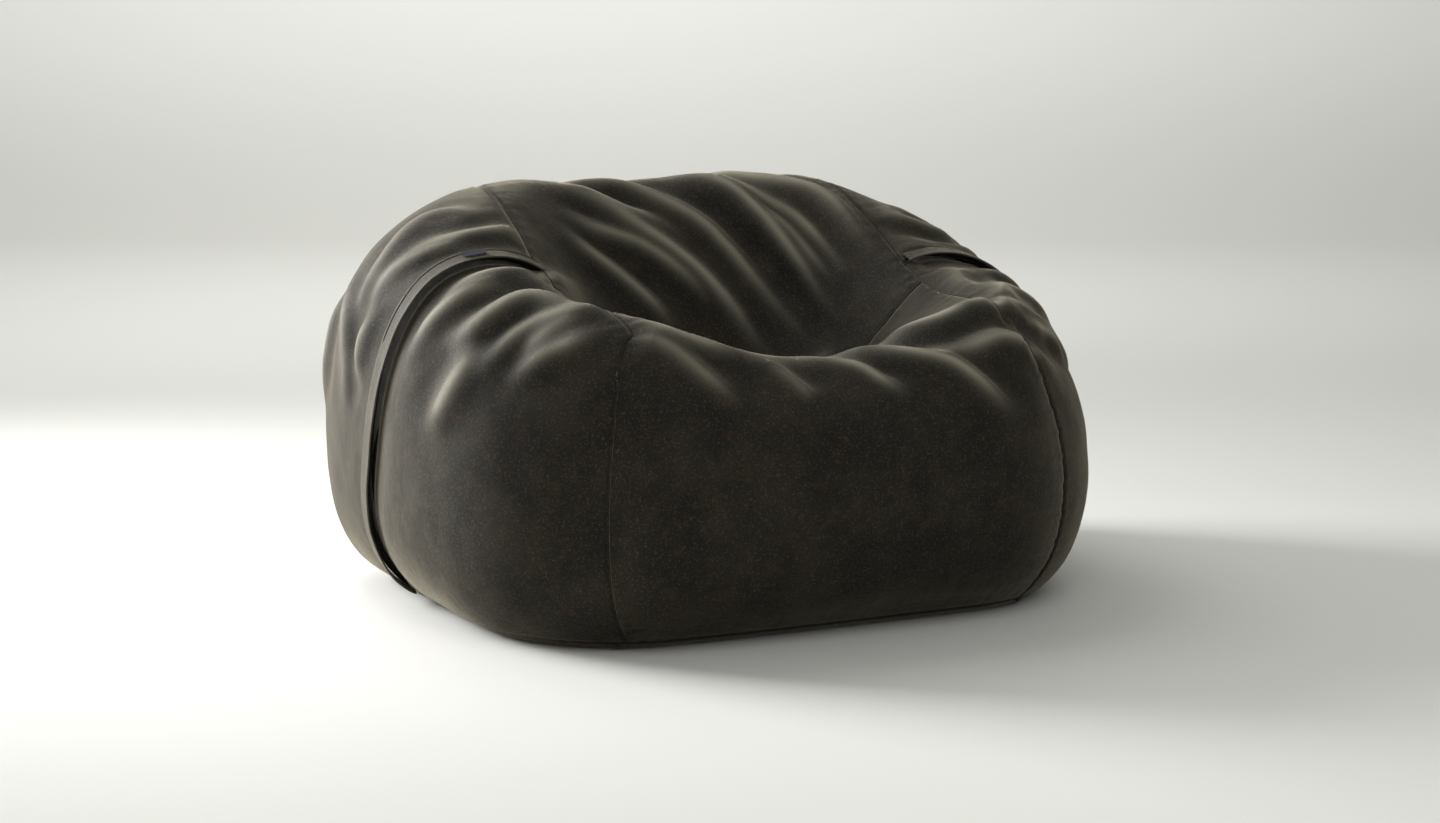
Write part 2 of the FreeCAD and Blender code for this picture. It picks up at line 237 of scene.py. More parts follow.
# ---------------------------------------------------------------------------------------------
# Seam lines. The rows of vertices in which two panels meet, each in the order in which it is sewn.
front_edge, back_edge = near(cube[:, 1], -1), near(cube[:, 1], 1)
top_edge, base_row = near(cube[:, 2], 1), near(cube[:, 2], BASE_ROW)
above_base = cube[:, 2] > BASE_ROW - 1e-4
round_strip = (np.degrees(np.arctan2(cube[:, 2], -cube[:, 1])) + 90) % 360
LINES = {
    "hollow_seam": (top_edge & near(cube[:, 1], HOLLOW_COLUMN), cube[:, 0]),
    "ridge_seam": (top_edge & back_edge, cube[:, 0]),
    "base_seam": (base_row, np.arctan2(cube[:, 1], cube[:, 0])),
}
for side, sign in (("left", -1), ("right", 1)):
    edge = near(cube[:, 0], sign) & above_base
    LINES[f"{side}_strip_seam"] = (edge & (front_edge | back_edge | top_edge), round_strip)
    LINES[f"{side}_placket"] = (edge & near(cube[:, 1], PLACKET_COLUMN), cube[:, 2])
line_points = {}
for name, (on_line, order) in LINES.items():
    index = np.flatnonzero(on_line)
    line_points[name] = index[np.argsort(order[index])]


def walk(points):
    """Distance along a line of points, from its first one."""
    steps = np.linalg.norm(np.diff(points, axis=0), axis=1)
    return np.concatenate([[0], np.cumsum(steps)])


# ---------------------------------------------------------------------------------------------
# Folds. Velvet pulled over soft filling lies in long swells that run out of the seams, each with a
# narrow crest and a hollow beside it. Height and half width are in millimetres.
FOLDS = [
    (9, 17, [(-.27, .29, .665), (-.20, .23, .66), (-.09, .185, .61), (0, .145, .545),
             (.065, .10, .465), (.10, .04, .39), (.12, -.02, .34)]),
    (7, 15, [(-.27, .15, .60), (-.205, .12, .57), (-.125, .11, .51), (-.065, .09, .45), (-.03, .05, .39)]),
    (7, 14, [(-.24, .18, .63), (-.18, .16, .605), (-.075, .15, .565), (.01, .115, .49), (.025, .085, .43)]),
    (7, 13, [(-.22, .30, .668), (-.16, .24, .655), (-.115, .205, .635),
             (-.025, .185, .605), (.045, .15, .555)]),
    (9, 15, [(-.17, .32, .665), (-.10, .28, .665), (-.04, .235, .65), (.04, .185, .605),
             (.085, .145, .555), (.13, .095, .485), (.17, .03, .41), (.19, -.03, .37)]),
    (9, 14, [(-.02, .32, .665), (.07, .27, .665), (.125, .22, .65), (.165, .16, .60),
             (.20, .095, .53), (.22, .02, .46), (.23, -.05, .42)]),
    (7, 12, [(.06, .30, .667), (.13, .245, .658), (.215, .16, .615), (.25, .07, .55), (.26, 0, .49)]),
    (6, 12, [(.12, .19, .63), (.19, .15, .595), (.225, .08, .535), (.24, .01, .48)]),
    (10, 17, [(.03, .34, .66), (.11, .30, .67), (.18, .25, .665),
              (.275, .17, .645), (.305, .07, .585), (.31, -.03, .525)]),
    (6, 16, [(-.345, -.36, .48), (-.295, -.39, .465), (-.23, -.44, .41), (-.17, -.46, .35)]),
    (8, 16, [(-.325, -.31, .505), (-.27, -.36, .475), (-.205, -.385, .455), (-.13, -.40, .43)]),
    (5, 15, [(-.14, -.385, .435), (-.09, -.44, .395), (-.065, -.455, .36)]),
    (7, 14, [(-.06, -.37, .42), (.02, -.405, .415), (.06, -.44, .39), (.115, -.465, .36)]),
    (9, 15, [(.03, -.34, .425), (.10, -.385, .425), (.18, -.425, .415), (.25, -.465, .36), (.29, -.47, .31)]),
    (8, 15, [(.12, -.29, .435), (.18, -.315, .45), (.25, -.335, .48), (.345, -.30, .50)]),
    (8, 15, [(.15, -.37, .43), (.22, -.41, .435), (.295, -.405, .45), (.38, -.385, .415), (.44, -.36, .36)]),
    (8, 16, [(.225, -.32, .465), (.315, -.33, .495), (.40, -.285, .48), (.47, -.24, .44)]),
    (6, 14, [(-.60, .16, .46), (-.55, .125, .56), (-.455, .15, .63), (-.38, .09, .63)]),
    (6, 13, [(-.585, .10, .47), (-.55, .065, .545), (-.49, .01, .58), (-.43, .0, .59)]),
    (7, 14, [(-.56, .10, .53), (-.50, .05, .60), (-.43, .03, .61), (-.355, .06, .61), (-.29, .105, .61)]),
    (5, 15, [(-.57, .24, .56), (-.59, .18, .47), (-.61, .145, .385), (-.61, .15, .30)]),
    (6, 15, [(-.61, .10, .36), (-.605, .095, .415), (-.595, .075, .46), (-.58, .04, .50)]),
    (8, 17, [(-.55, -.08, .49), (-.49, -.085, .55), (-.39, -.08, .56), (-.30, -.01, .535), (-.21, .06, .51)]),
    (7, 16, [(-.585, -.07, .40), (-.55, -.10, .485), (-.48, -.13, .54), (-.42, -.14, .55)]),
    (10, 17, [(-.575, -.12, .41), (-.51, -.185, .485), (-.43, -.20, .525),
              (-.38, -.25, .52), (-.32, -.29, .505)]),
    (7, 13, [(-.54, -.24, .38), (-.49, -.25, .46), (-.44, -.26, .50),
             (-.37, -.285, .51), (-.31, -.305, .50)]),
    (6, 13, [(-.49, -.27, .44), (-.42, -.29, .487), (-.36, -.305, .50)]),
    (7, 15, [(-.51, -.29, .39), (-.46, -.31, .45), (-.41, -.33, .47), (-.35, -.345, .49)]),
    (7, 18, [(-.59, -.16, .31), (-.57, -.19, .37), (-.535, -.21, .43), (-.49, -.22, .475)]),
    (5, 14, [(-.40, -.10, .555), (-.36, -.15, .54), (-.34, -.24, .52)]),
    (4, 22, [(-.32, -.31, .505), (-.23, -.35, .47), (-.135, -.38, .43), (0, -.36, .423), (.125, -.335, .436),
             (.265, -.28, .48), (.36, -.24, .505)]),
]
FOLD_RISE = 1.6
FOLD_SPREAD = 1.35
SAMPLES = 90


def crest_points(points):
    """Points along the smooth curve through a fold's few points, drawn onto the skin."""
    points = np.array(points, float)
    ends = [2 * points[0] - points[1], 2 * points[-1] - points[-2]]
    control = np.vstack([ends[:1], points, ends[1:]])
    place = np.linspace(0, len(points) - 1.001, SAMPLES)
    start = place.astype(int)
    t = (place - start)[:, None]
    a, b, c, d = (control[start + k] for k in range(4))
    curve = 0.5 * (2 * b + (c - a) * t + (2 * a - 5 * b + 4 * c - d) * t**2 + (3 * b - a - 3 * c + d) * t**3)
    return on_skin(tree, curve)


def lay_fold(co, normal, height, width, points):
    """How far one fold lifts each point of the skin, and how strong the painted highlight along its crest is
    there.
    """
    curve = crest_points(points)
    low, high = curve.min(axis=0) - 5 * width, curve.max(axis=0) + 5 * width
    near_fold = np.flatnonzero(((co > low) & (co < high)).all(axis=1))
    arm = co[near_fold][:, None] - curve[None]
    nearest = np.argmin((arm**2).sum(axis=2), axis=1)
    along = np.gradient(curve, axis=0)[nearest]
    along /= np.linalg.norm(along, axis=1)[:, None]
    arm = arm[np.arange(len(nearest)), nearest]
    past = (arm * along).sum(axis=1)[:, None]
    aside = arm - along * past
    across = np.cross(normal[near_fold], along)
    reach = np.sign((aside * across).sum(axis=1)) * np.linalg.norm(aside, axis=1)
    over_end = np.maximum(0, np.abs(past[:, 0]) - np.linalg.norm(curve[1] - curve[0])) / width
    share = nearest / (SAMPLES - 1)
    taper = smooth(share / 0.35) * smooth((1 - share) / 0.42) * np.exp(-over_end)
    gentle = np.exp(-((reach / (1.5 * width)) ** 2))
    steep = np.exp(-((reach / (0.75 * width)) ** 2))
    ridge = np.where(reach < 0, gentle, steep)
    valley = np.exp(-(((reach - 1.9 * width) / (1.1 * width)) ** 2))
    lift, crest_highlight = np.zeros(len(co)), np.zeros(len(co))
    lift[near_fold] = 1.25 * height * taper * (ridge - 0.55 * valley)
    # Painted highlight: a narrow pale band along the crest, wider on the gentle side and fainter on low
    # folds.
    shine = np.where(reach < 0, 0.95, 0.42) * width
    crest_highlight[near_fold] = min(1, height / 0.011) * taper * np.exp(-((reach / shine) ** 2))
    return lift, crest_highlight


def mirrored(fold, rng):
    """The same kind of fold on the other side of the chair, a little different."""
    height, width, points = fold
    shift = [rng.uniform(-0.02, 0.02) for _ in range(3)]
    return height, width, [(-x + shift[0], y + shift[1], z + shift[2]) for x, y, z in points]


rng = random.Random(4)
LEFT_SIDE = [f for f in FOLDS if all(p[0] < -0.28 for p in f[2])]
FOLDS += [mirrored(f, rng) for f in LEFT_SIDE]
FOLDS += [
    (5, 24, [(-.27, .37, .63), (-.25, .42, .56), (-.245, .46, .48), (-.25, .49, .38), (-.25, .50, .26)]),
    (4, 22, [(-.15, .37, .63), (-.145, .42, .56), (-.14, .46, .48), (-.13, .49, .38)]),
    (5, 25, [(.0, .37, .63), (.005, .42, .57), (.01, .47, .48), (.0, .50, .36), (.0, .50, .22)]),
    (4, 20, [(.14, .37, .63), (.135, .42, .56), (.13, .46, .48), (.135, .49, .40)]),
    (5, 24, [(.27, .37, .62), (.255, .42, .55), (.245, .46, .47), (.24, .49, .36), (.25, .50, .25)]),
    (6, 18, [(-.46, .30, .58), (-.46, .37, .48), (-.49, .39, .36), (-.48, .40, .26)]),
    (6, 18, [(.45, .30, .57), (.47, .36, .46), (.48, .39, .36)]),
    (6, 16, [(-.54, .27, .50), (-.56, .29, .40), (-.56, .30, .28)]),
    (6, 16, [(.54, .27, .49), (.56, .28, .38), (.57, .29, .26)]),
    (5, 15, [(-.20, -.02, .40), (-.15, .0, .33), (-.08, .0, .30)]),
    (5, 15, [(.20, -.06, .42), (.15, -.04, .35), (.08, -.03, .31)]),
]

skin_normal = normals_of(co, quads)
# The second array gathers the painted highlight along every fold crest; it later lightens the velvet's base
# colour.
fold_lift, crest_highlight = np.zeros(len(co)), np.zeros(len(co))
for height, width, points in FOLDS:
    lift, ridge = lay_fold(co, skin_normal, FOLD_RISE * height / 1000, FOLD_SPREAD * width / 1000, points)
    fold_lift += lift
    crest_highlight = np.maximum(crest_highlight, ridge)
FOLD_PASSES = 1
FOLD_LIMIT = 0.020
crest_highlight = evened(crest_highlight, quads, FOLD_PASSES)
fold_lift = FOLD_LIMIT * np.tanh(evened(fold_lift, quads, FOLD_PASSES) / FOLD_LIMIT)

# Swells and seam puckers: filling bulges between the seams, and the thread draws the cloth in.
GROOVE = 0.0028
GROOVE_HALF = 0.007
PILLOW = 0.004
PILLOW_HALF = 0.045
PUCKER = 0.0008
PUCKER_REACH = 0.026
PUCKER_LONG, PUCKER_SHORT = 0.031, 0.019
SWELL, SWELL_DENSITY = 0.0035, 5.5
RIPPLE, RIPPLE_DENSITY, RIPPLE_SHIFT = 0.0012, 19, Vector((7, 0, 0))
FLOOR_CLEAR, FLOOR_FADE = 0.004, 0.05
SEAM_FADE = 0.030
FOLD_AT_SEAM = 0.35
seam_names = [n for n in line_points if "placket" not in n]
seam_tree = KDTree(sum(len(line_points[n]) for n in seam_names))
seam_walk = []
for name in seam_names:
    index = line_points[name]
    for i, s in zip(index, walk(co[index])):
        seam_tree.insert(Vector(co[i]), len(seam_walk))
        seam_walk.append(s + 7 * seam_names.index(name))
seam_tree.balance()
found = [seam_tree.find(Vector(p)) for p in co]
seam_gap = np.array([f[2] for f in found])
seam_place = np.array([seam_walk[f[1]] for f in found])
long_wave = np.sin(seam_place * 2 * np.pi / PUCKER_LONG + 1.7 * np.sin(seam_place * 19))
pucker_wave = long_wave + np.sin(seam_place * 2 * np.pi / PUCKER_SHORT)
pucker = PUCKER * pucker_wave * np.exp(-seam_gap / PUCKER_REACH) * smooth(seam_gap / 0.006)
groove = GROOVE * np.exp(-((seam_gap / GROOVE_HALF) ** 2))
groove = groove + PILLOW * np.exp(-((seam_gap / PILLOW_HALF) ** 2))
swell = np.array([
    SWELL * noise.noise(Vector(p) * SWELL_DENSITY)
    + RIPPLE * noise.noise(Vector(p) * RIPPLE_DENSITY + RIPPLE_SHIFT)
    for p in co
])
on_floor = smooth((co[:, 2] - FLOOR_CLEAR) / FLOOR_FADE)
fade_at_seam = smooth(seam_gap / SEAM_FADE)
fold_share = FOLD_AT_SEAM + (1 - FOLD_AT_SEAM) * fade_at_seam
lift = (fold_lift * fold_share + swell + pucker - groove) * on_floor

# Plackets: behind each zip the panel lies flat under the flap; in front it dips into the slot.
SLOT_HALF = 0.015
SLOT_FRONT = 0.0095
SLOT_REACH = 0.075
SLOT_FADE = 0.03
FLAT_HALF, FLAT_FADE = 0.012, 0.05
DIP = 0.0092
DIP_REACH = 0.048
side_face = near(np.abs(cube[:, 0]), 1) & above_base
behind = placket_side(co)
gap = np.abs(behind)
slot_open = smooth((np.abs(co[:, 0]) - SEAM_X) / SLOT_FADE) * smooth((co[:, 2] - BASE_Z) / SLOT_FADE)
slot_open[~side_face] = 0
flatten = np.where(side_face, smooth((gap - FLAT_HALF) / FLAT_FADE), 1)
lift = lift * (1 - slot_open) + lift * slot_open * flatten
dip = DIP * np.exp(-((np.maximum(gap - 0.004, 0) / DIP_REACH) ** 2)) * slot_open


def placed(which, toward):
    """Final places of one panel's vertices: its edge drawn back from the slot, then folds and dip."""
    moved = co.copy()
    if toward:
        share = np.clip(1 - gap / SLOT_REACH, 0, 1) * slot_open
        use = which & (share > 0)
        drawn_back = toward * (SLOT_HALF if toward > 0 else SLOT_FRONT)
        moved[use] += drawn_back * share[use, None] * np.array(PLACKET_NORMAL)
        moved[use] = on_skin(tree, moved[use])
    depth = dip if toward < 0 else 0.25 * dip
    return moved + skin_normal * (lift - (depth if toward else 0))[:, None]


# ---------------------------------------------------------------------------------------------
# Velvet. Short dark-brown pile: it scatters light at its edge, a painted highlight lightens its
# fold crests in the base colour, and the way the pile lies shows as soft mottling and fine specks.
class Shade:
    """A value of a finish. Sums, products and powers of it add Math nodes."""

    def __init__(self, finish, socket):
        self.finish = finish
        self.socket = socket

    def math(self, operation, first, second):
        return self.finish.node("ShaderNodeMath", {"operation": operation}, {0: first, 1: second})

    def __add__(self, other):
        return self.math("ADD", self, other)

    def __sub__(self, other):
        return self.math("SUBTRACT", self, other)

    def __rsub__(self, other):
        return self.math("SUBTRACT", other, self)

    def __mul__(self, other):
        return self.math("MULTIPLY", self, other)

    def __pow__(self, other):
        return self.math("POWER", self, other)

    __radd__ = __add__
    __rmul__ = __mul__


class Finish:
    """A material under construction."""

    def __init__(self, name, colour, **constants):
        self.material = bpy.data.materials.new(name)
        self.material.use_nodes = True
        self.tree = self.material.node_tree
        self.surface = self.tree.nodes["Principled BSDF"].inputs
        self.put(self.surface["Base Color"], colour)
        for key, value in constants.items():
            self.put(self.surface[key.replace("_", " ")], value)

    def put(self, socket, value):
        if isinstance(value, Shade):
            self.tree.links.new(value.socket, socket)
        elif isinstance(value, tuple) and len(value) == 3 and socket.type == "RGBA":
            socket.default_value = (*value, 1)
        else:
            socket.default_value = value

    def node(self, kind, settings, inputs, output=None):
        """Adds a node: settings first, then the values or links of its sockets."""
        made = self.tree.nodes.new(kind)
        for key, value in settings.items():
            if key == "stops":
                for stop, (place, colour) in zip(made.color_ramp.elements, value):
                    stop.position = place
                    stop.color = (*colour, 1)
            else:
                setattr(made, key, value)
        for key, value in inputs.items():
            self.put(made.inputs[key], value)
        outputs = [s for s in made.outputs if s.enabled]
        return Shade(self, made.outputs[output] if output else outputs[0])

    def where(self, output="Object"):
        return self.node("ShaderNodeTexCoord", {}, {}, output)

    def noise(self, scale, detail=2.0, rough=0.5, place=None):
        place = place or self.where()
        return self.node(
            "ShaderNodeTexNoise", {},
            {"Vector": place, "Scale": scale, "Detail": detail, "Roughness": rough}, "Fac",
        )

    def ramp(self, value, low, high, first=0.0, last=1.0):
        return self.node(
            "ShaderNodeMapRange", {"interpolation_type": "SMOOTHSTEP"},
            {"Value": value, "From Min": low, "From Max": high, "To Min": first, "To Max": last},
        )

    def mix(self, share, first, second, blend="MIX"):
        return self.node(
            "ShaderNodeMix", {"data_type": "RGBA", "blend_type": blend},
            {0: share, 6: first, 7: second}, 2,
        )

    def bump(self, height, depth, under=None):
        inputs = {"Height": height, "Strength": 1.0, "Distance": depth}
        if under:
            inputs["Normal"] = under
        return self.node("ShaderNodeBump", {}, inputs)


def velvet(name, dark, mid, pale_for_specks_and_highlights):
    """Pile cloth in three shades: pressed down, upright, and a pale shade used for fine specks and for the
    painted highlight on fold crests.
    """
    cloth = Finish(
        name, dark, Specular_IOR_Level=0.25, Sheen_Weight=0.33, Sheen_Roughness=0.30,
        Sheen_Tint=(1.0, 0.90, 0.67),
    )
    # Reads the painted crest highlight that the mesh carries.
    painted_crest_highlight = cloth.node("ShaderNodeAttribute", {"attribute_name": "crest_highlight"}, {}, "Fac")
    mottle = cloth.ramp(cloth.noise(9.0, 4.0, 0.62), 0.36, 0.68)
    specks = cloth.ramp(cloth.noise(300.0, 3.0, 0.7), 0.50, 0.70)
    brown = cloth.ramp(cloth.noise(46.0, 3.0, 0.6), 0.52, 0.72)
    colour = cloth.mix(mottle * 0.75, dark, mid)
    colour = cloth.mix(brown * 0.60, colour, (mid[0] * 1.25, mid[1] * 0.86, mid[2] * 0.72))
    colour = cloth.mix(specks * 0.13, colour, pale_for_specks_and_highlights)
    # Painted highlight: the base colour turns pale along the fold crests.
    colour = cloth.mix(painted_crest_highlight**1.5 * 0.34 + painted_crest_highlight**4 * 0.66, colour, pale_for_specks_and_highlights)
    cloth.put(cloth.surface["Base Color"], colour)
    cloth.put(cloth.surface["Roughness"], 0.86 - painted_crest_highlight * 0.22 - mottle * 0.06)
    nap = cloth.noise(420.0, 3.0, 0.75)
    lie = cloth.noise(38.0, 3.0, 0.6)
    cloth.put(cloth.surface["Normal"], cloth.bump(nap, 0.0008, cloth.bump(lie, 0.0011)))
    return cloth.material


VELVET = velvet("velvet", (0.0085, 0.0067, 0.0038), (0.0215, 0.0172, 0.0100), (0.262, 0.240, 0.182))

# ---------------------------------------------------------------------------------------------
# Panels. Eight pieces of velvet are cut flat, sewn edge to edge and pulled tight by the filling.
# Beside a zip each side panel is turned in, so that the slot has folded walls.
HEM_DEPTH = {-1: 0.0007, 1: 0.0032}
HEM_TURNS = 3
centre = cube[quads].mean(axis=1)
on_left, on_right = near(centre[:, 0], -1), near(centre[:, 0], 1)
on_top, on_back, on_front = near(centre[:, 2], 1), near(centre[:, 1], 1), near(centre[:, 1], -1)
low = centre[:, 2] < BASE_ROW
fore = centre[:, 1] < PLACKET_COLUMN
CUTS = {
    "front_panel": ((on_front & ~low) | (on_top & (centre[:, 1] < HOLLOW_COLUMN)), 0, (0.86, 0.80), 0.63),
    "backrest_panel": (on_top & (centre[:, 1] > HOLLOW_COLUMN), 0, (0.68, 0.72), 0.45),
    "rear_panel": (on_back & ~low, 0, (0.68, 0.72), 0.46),
    "base_panel": (low, 0, (1.03, 0.84), 0.62),
    "left_front_side_panel": (on_left & fore & ~low, -1, (0.74, 0.66), 0.39),
    "left_rear_side_panel": (on_left & ~fore & ~low, 1, (0.80, 0.72), 0.49),
    "right_front_side_panel": (on_right & fore & ~low, -1, (0.74, 0.66), 0.38),
    "right_rear_side_panel": (on_right & ~fore & ~low, 1, (0.80, 0.72), 0.47),
}


def finished(name, bm, material, body="chair"):
    """Makes a mesh an object that rides on a body."""
    mesh = bpy.data.meshes.new(name)
    bm.to_mesh(mesh)
    bm.free()
    mesh.materials.append(material)
    mesh.shade_smooth()
    made = bpy.data.objects.new(name, mesh)
    bpy.context.scene.collection.objects.link(made)
    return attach(made, body)


pieces = {}
for name, (mask, toward, flat, area) in CUTS.items():
    piece = bm.copy()
    piece.faces.ensure_lookup_table()
    piece.verts.ensure_lookup_table()
    used = np.zeros(len(co), bool)
    used[quads[mask].ravel()] = True
    place = placed(used, toward)
    # Each panel carries the painted crest highlight as a vertex attribute for its velvet.
    layer = piece.verts.layers.float.new("crest_highlight")
    for v, p, c in zip(piece.verts, place, crest_highlight):
        v.co = p
        v[layer] = c
    placket = {i for i in np.flatnonzero(near(cube[:, 1], PLACKET_COLUMN) & side_face & used)}
    edge_verts = [piece.verts[i] for i in placket] if toward else []
    bmesh.ops.delete(piece, geom=[f for f, m in zip(piece.faces[:], mask) if not m], context="FACES")
    if edge_verts:
        rim = {v for v in edge_verts if v.is_valid}
        rows = [e for e in piece.edges if e.is_boundary and e.verts[0] in rim and e.verts[1] in rim]
        for _ in range(HEM_TURNS):
            piece.normal_update()
            made = bmesh.ops.extrude_edge_only(piece, edges=rows)["geom"]
            rows = [g for g in made if isinstance(g, bmesh.types.BMEdge) and g.is_boundary]
            rows = [e for e in rows if all(v in made for v in e.verts)]
            for v in {v for e in rows for v in e.verts}:
                inward = -Vector(outward(np.array(v.co)))
                closed = float(smooth((abs(v.co.x) - SEAM_X) / 0.03) * smooth((v.co.z - BASE_Z) / 0.03))
                v.co += inward * HEM_DEPTH[toward] * closed
    cloth = finished(f"{name}_velvet", piece, VELVET)
    wall = cloth.modifiers.new("cloth", "SOLIDIFY")
    wall.thickness = COVER_THICKNESS
    wall.offset = -1
    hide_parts(name)
    pieces[name] = cloth

# ---------------------------------------------------------------------------------------------
# Liner and filling. A plain woven bag holds the beads inside the cover. Both stay clear of the
# zips, and the beads press through as small lumps.
LINER_DEPTH = 0.020
LINER_THICKNESS = 0.001
LINER_SLOT = 0.016
FILL_DEPTH = 0.027
BEAD = 0.0045


def inner_bag(depth, keep_every, lumps):
    """A coarser copy of the skin, moved in by depth and deeper still beside the zips."""
    bag = bmesh.new()
    bmesh.ops.create_cube(bag, size=2)
    bmesh.ops.subdivide_edges(bag, edges=bag.edges, cuts=COARSE * keep_every - 1, use_grid_fill=True)
    lookup = {tuple(np.round(c * 80).astype(int)): i for i, c in enumerate(cube)}
    for v in bag.verts:
        i = lookup[tuple(int(round(c * 80)) for c in v.co)]
        sink = depth + LINER_SLOT * math.exp(-((gap[i] / 0.03) ** 2)) * slot_open[i]
        wave = lumps * noise.noise(Vector(co[i]) * 30)
        v.co = Vector(co[i] - skin_normal[i] * (sink + wave) * on_floor_soft[i])
        v.co.z = max(v.co.z, 0.0045 + depth / 20)
    return bag


on_floor_soft = 0.25 + 0.75 * smooth(co[:, 2] / 0.06)
liner_cloth = Finish("liner", (0.62, 0.61, 0.58), Roughness=0.8, Sheen_Weight=0.2)
weave = liner_cloth.node("ShaderNodeTexVoronoi", {"feature": "F1"}, {"Scale": 700.0}, "Distance")
crinkle = liner_cloth.noise(60.0, 3.0, 0.6)
liner_cloth.put(liner_cloth.surface["Normal"], liner_cloth.bump(weave + crinkle * 4, 0.0006))
liner_colour = liner_cloth.mix(crinkle, (0.66, 0.65, 0.61), (0.52, 0.51, 0.48))
liner_cloth.put(liner_cloth.surface["Base Color"], liner_colour)
liner = finished("inner_liner_bag", inner_bag(LINER_DEPTH, 4, 0.002), liner_cloth.material)
wall = liner.modifiers.new("cloth", "SOLIDIFY")
wall.thickness = LINER_THICKNESS
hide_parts("inner_liner")

beads = Finish("beads", (0.86, 0.86, 0.84), Roughness=0.45, Subsurface_Weight=0.1)
ball = beads.node(
    "ShaderNodeTexVoronoi", {"feature": "SMOOTH_F1"}, {"Scale": 1 / BEAD, "Smoothness": 0.2}, "Distance",
)
beads.put(beads.surface["Normal"], beads.bump(1 - ball, BEAD / 2))
# Painted shade: each bead is paler at its middle and darker toward its edge, where the beads meet.
beads.put(beads.surface["Base Color"], beads.mix(ball, (0.90, 0.90, 0.88), (0.62, 0.62, 0.61)))
filling = finished("filling_beads", inner_bag(FILL_DEPTH, 4, 0.0035), beads.material)
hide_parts("bead_filling")

# ---------------------------------------------------------------------------------------------
# Seams. Two panels are sewn face to face and turned, so their edges meet in a raised lip of
# folded velvet that lies over to one side of a groove, drawn in by the stitches.
final = placed(np.ones(len(co), bool), 0)
LIP_WIDTH = 0.0026
LIP_HEIGHT = 0.0050
LIP_SINK = 0.0022
LIP_SIDES = 10
LIP_LEAN = 0.0009


def swept(points, normals, profile, closed):
    """A grid bent into a strip along a line: profile gives each row's sideways and outward place."""
    count, rows = len(points), len(profile)
    strip = bmesh.new()
    bmesh.ops.create_grid(strip, x_segments=count - 1 + closed, y_segments=rows, size=0.5)
    ahead, behind_it = np.roll(points, -1, axis=0), np.roll(points, 1, axis=0)
    if not closed:
        ahead[-1], behind_it[0] = points[-1], points[0]
    along = ahead - behind_it
    along /= np.linalg.norm(along, axis=1)[:, None]
    across = np.cross(normals, along)
    across /= np.linalg.norm(across, axis=1)[:, None]
    for v in strip.verts:
        i = round((v.co.x + 0.5) * (count - 1 + closed)) % count
        sideways, outwards = profile[round((v.co.y + 0.5) * rows) % rows]
        wobble = 1 + 0.10 * noise.noise(Vector(points[i]) * 90)
        v.co = Vector(points[i] + across[i] * sideways * wobble + normals[i] * outwards * wobble)
    bmesh.ops.remove_doubles(strip, verts=strip.verts, dist=1e-6)
    if not closed:
        bmesh.ops.holes_fill(strip, edges=[e for e in strip.edges if e.is_boundary], sides=0)
    bmesh.ops.recalc_face_normals(strip, faces=strip.faces)
    return strip


def lip_profile(width, height, sink, lean):
    """A closed round-topped section, foot below the cloth, top leaning over to one side."""
    turn = np.arange(LIP_SIDES) / LIP_SIDES * 2 * np.pi
    up = np.sin(turn)
    return [
        (width / 2 * np.cos(t) * (1 - 0.25 * u) + lean * u, (height / 2) * (1 + u) - sink)
        for t, u in zip(turn, up)
    ]


def even(points, closed=False, weight=0.5, passes=3):
    """Takes small jumps out of a line of points."""
    points = points.copy()
    for _ in range(passes):
        mean = (np.roll(points, 1, axis=0) + np.roll(points, -1, axis=0)) / 2
        if not closed:
            mean[0], mean[-1] = points[0], points[-1]
        points += weight * (mean - points)
    return points


# Painted highlight: the seam lips use a lighter copy of the velvet, standing in for the light along the
# raised seams.
SEAM_VELVET_PAINTED_HIGHLIGHT = velvet("seam_velvet_painted_highlight", (0.020, 0.0165, 0.0115), (0.040, 0.034, 0.025), (0.15, 0.135, 0.11))
for name in seam_names:
    index = line_points[name]
    closed = name == "base_seam"
    line = even(final[index], closed)
    lip = swept(line, skin_normal[index], lip_profile(LIP_WIDTH, LIP_HEIGHT, LIP_SINK, LIP_LEAN), closed)
    lip_piece = finished(f"{name}_lip", lip, SEAM_VELVET_PAINTED_HIGHLIGHT)
    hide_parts(name)

# ---------------------------------------------------------------------------------------------
# Zip flaps. A strip of velvet sewn down behind each zip hides it. Its turned-in front edge
# is free and stands a little proud; a row of topstitching runs beside each of its edges.
FLAP_FRONT = -0.011
FLAP_BACK = 0.024
FLAP_THICKNESS = 0.0026
FLAP_ROWS = 14
STITCH_LENGTH = 0.0034
STITCH_GAP = 0.0016
STITCH_WIDTH = 0.0007
STITCH_ROWS = (("rear", 0.0195), ("front", -0.0055))
FLAP_RISE, FLAP_FRONT_RISE, FLAP_BACK_DROP = 0.0030, 0.0030, 0.0012
FLAP_WAVE = 0.0016
THREAD = Finish("thread", (0.040, 0.034, 0.026), Roughness=0.5, Sheen_Weight=0.3)
twist = THREAD.node(
    "ShaderNodeTexWave", {"wave_type": "BANDS", "bands_direction": "DIAGONAL"}, {"Scale": 900.0}, "Fac",
)
THREAD.put(THREAD.surface["Normal"], THREAD.bump(twist, 0.0002))
THREAD.put(THREAD.surface["Base Color"], THREAD.mix(twist, (0.030, 0.026, 0.020), (0.075, 0.066, 0.052)))


